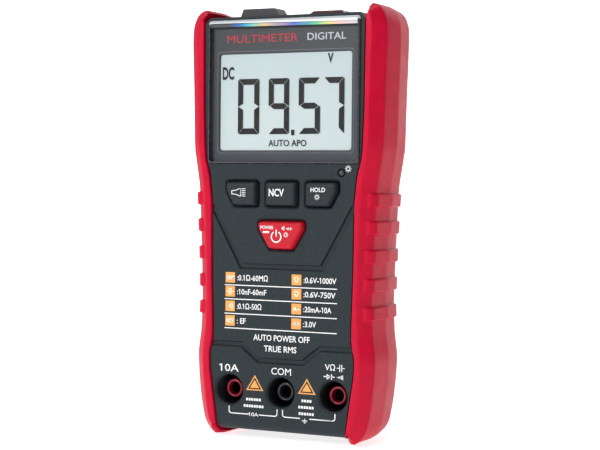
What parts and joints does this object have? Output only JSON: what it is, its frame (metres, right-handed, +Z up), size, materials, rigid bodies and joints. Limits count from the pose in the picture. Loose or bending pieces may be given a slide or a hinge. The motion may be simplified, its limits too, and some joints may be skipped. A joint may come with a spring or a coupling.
{
  "type": "handheld digital multimeter",
  "caption": "Handheld digital multimeter with soft side rails, key row, large display, shrouded 4 mm input sockets, battery door and folding stand.",
  "frame": {"origin": "centre of the underside of the bounding box, where the rails' feet stand", "axes": "+Z up the meter from sockets to display, -Y out of the front face, +X to the right seen from the front"},
  "size_m": [0.071, 0.0342, 0.1415],
  "materials": {
    "case_plastic": "fine spark-eroded texture, charcoal",
    "rail_rubber": "satin moulded elastomer, crimson",
    "lens_acrylic": "polished, printed behind with a dark mask",
    "lcd_glass": "reflective display glass",
    "backlight_plastic": "frosted white",
    "frame_plastic": "plain black",
    "foam": "closed-cell foam",
    "elastomer": "layered conductive elastomer",
    "key_rubber": "satin, printed in white",
    "power_key_rubber": "satin crimson, printed in white",
    "plunger_plastic": "natural",
    "board": "green solder mask",
    "chip_plastic": "moulded epoxy",
    "socket_red": "dark red",
    "brass": "turned and nickel-free",
    "component_green": "dipped coating",
    "component_blue": "dipped coating",
    "metal_can": "tin-plated",
    "shunt_wire": "bare resistance wire",
    "fuse_ceramic": "unglazed ceramic",
    "sensor_plastic": "dark epoxy",
    "clear_plastic": "clear moulded",
    "torch_lens_plastic": "smoky maroon",
    "copper": "bare foil",
    "cell_sleeve": "plain shrink sleeve",
    "screw_steel": "zinc plated"
  },
  "bodies": {
    "torch_key_body": {"torch_key": "key_rubber", "torch_switch_plunger": "plunger_plastic"},
    "ncv_key_body": {"ncv_key": "key_rubber", "ncv_switch_plunger": "plunger_plastic"},
    "hold_key_body": {"hold_key": "key_rubber", "hold_switch_plunger": "plunger_plastic"},
    "power_key_body": {"power_key": "power_key_rubber", "power_switch_plunger": "plunger_plastic"},
    "stand": {"kickstand": "case_plastic"},
    "battery_door": {"battery_cover": "case_plastic", "battery_cover_screw": "screw_steel"},
    "meter": {"backlight_panel": "backlight_plastic", "battery_cell_left": "cell_sleeve", "battery_cell_right": "cell_sleeve", "battery_cover_insert": "brass", "battery_plates": "metal_can", "battery_springs": "metal_can", "buzzer": "frame_plastic", "capacitors": "metal_can", "case_screws": "screw_steel", "contact_sleeve_10a": "brass", "contact_sleeve_com": "brass", "contact_sleeve_volt": "brass", "crystal": "metal_can", "current_shunt": "shunt_wire", "display_gasket": "foam", "display_lens": "lens_acrylic", "front_case": "case_plastic", "fuse_body": "fuse_ceramic", "fuse_caps": "metal_can", "fuse_clips": "metal_can", "input_resistors": "component_blue", "kickstand_pins": "screw_steel", "lcd_frame": "frame_plastic", "lcd_glass": "lcd_glass", "light_sensor": "sensor_plastic", "main_ic": "chip_plastic", "memory_chip": "chip_plastic", "ncv_antenna": "copper", "ncv_nose": "case_plastic", "pcb": "board", "pcb_screws": "screw_steel", "ptc_thermistor": "component_green", "rear_case": "case_plastic", "reference_chip": "chip_plastic", "sensor_window": "clear_plastic", "side_rail_left": "rail_rubber", "side_rail_right": "rail_rubber", "socket_tube_10a": "socket_red", "socket_tube_com": "frame_plastic", "socket_tube_volt": "socket_red", "tact_switches": "frame_plastic", "terminal_block": "frame_plastic", "torch_led": "clear_plastic", "torch_lens": "torch_lens_plastic", "varistors": "component_blue", "zebra_strip": "elastomer"}
  },
  "joints": [
    {"name": "torch_key_press", "type": "slide", "parent": "meter", "child": "torch_key_body", "axis": [0, 1, 0], "range_m": [0, 0.0005], "stiffness_N_per_m": 3000},
    {"name": "ncv_key_press", "type": "slide", "parent": "meter", "child": "ncv_key_body", "axis": [0, 1, 0], "range_m": [0, 0.0005], "stiffness_N_per_m": 3000},
    {"name": "hold_key_press", "type": "slide", "parent": "meter", "child": "hold_key_body", "axis": [0, 1, 0], "range_m": [0, 0.0005], "stiffness_N_per_m": 3000},
    {"name": "power_key_press", "type": "slide", "parent": "meter", "child": "power_key_body", "axis": [0, 1, 0], "range_m": [0, 0.0005], "stiffness_N_per_m": 3000},
    {"name": "stand_hinge", "type": "hinge", "parent": "meter", "child": "stand", "pos_m": [0, 0.0139, 0.0714], "axis": [1, 0, 0], "range_deg": [0, 50]},
    {"name": "battery_cover_lift", "type": "slide", "parent": "meter", "child": "battery_door", "axis": [0, 1, 0], "range_m": [0, 0.02]}
  ]
}
